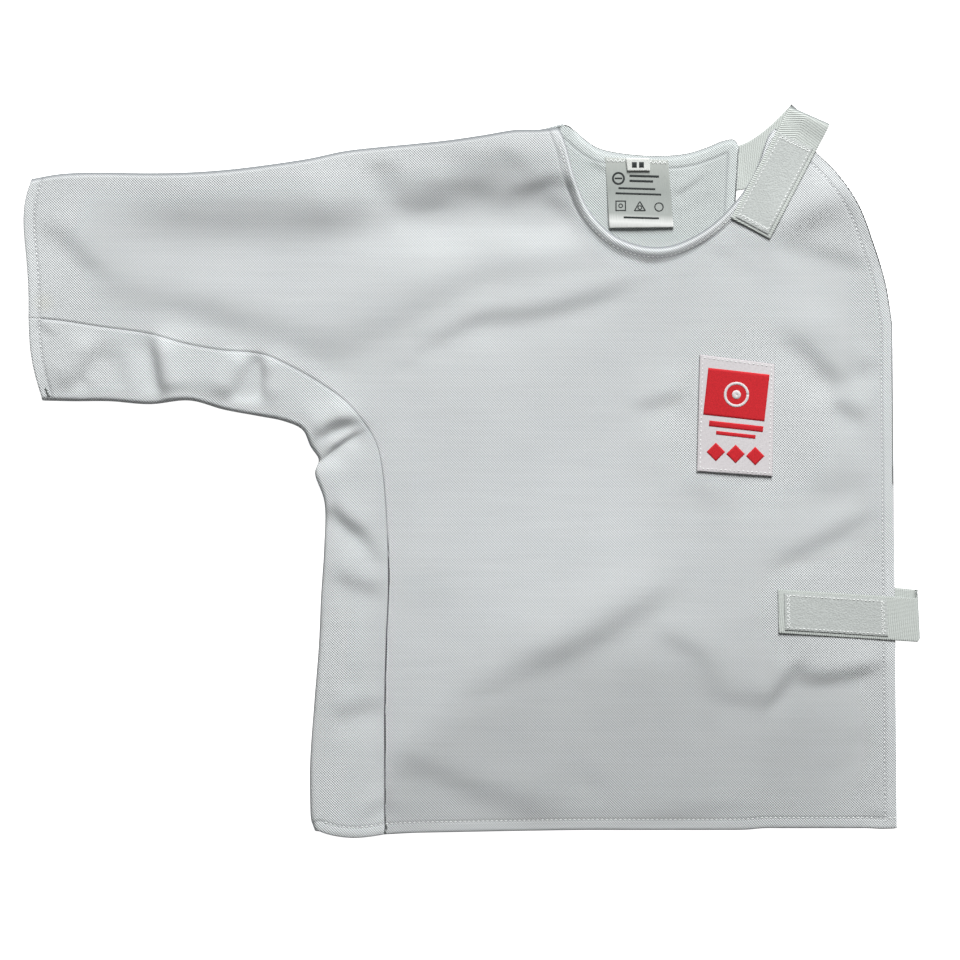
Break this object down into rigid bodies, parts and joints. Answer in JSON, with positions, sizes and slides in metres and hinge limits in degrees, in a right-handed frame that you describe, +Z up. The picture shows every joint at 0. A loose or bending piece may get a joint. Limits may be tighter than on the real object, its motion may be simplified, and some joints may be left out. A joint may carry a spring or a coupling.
{
  "type": "fencing underplastron",
  "caption": "One-sleeved cloth fencing underplastron laid flat front up, with a round open neck, an underarm strip and two folded elastic straps with hook-and-loop tape.",
  "frame": {"origin": "on the table under the middle of the garment's box", "axes": "+X from the cuff to the free side with the straps, +Y from the bottom hem to the neck, +Z up off the table"},
  "size_m": [0.609, 0.4982, 0.0112],
  "materials": {
    "cloth": "white knitted polyester with a small diagonal dot texture, matt",
    "webbing": "white ribbed elastic webbing",
    "tape": "white hook-and-loop tape with a stitched edge",
    "label": "silver-grey satin with plain dark marks",
    "tab": "white woven tab with a dark bar",
    "patch": "pale woven patch with plain red shapes"
  },
  "bodies": {
    "root": {"front_panel": "cloth", "back_panel": "cloth", "underarm_panel": "cloth", "shoulder_strap": "webbing", "shoulder_strap_tape": "tape", "waist_strap": "webbing", "waist_strap_tape": "tape", "neck_label": "label", "size_tab": "tab", "chest_patch": "patch"}
  },
  "joints": []
}
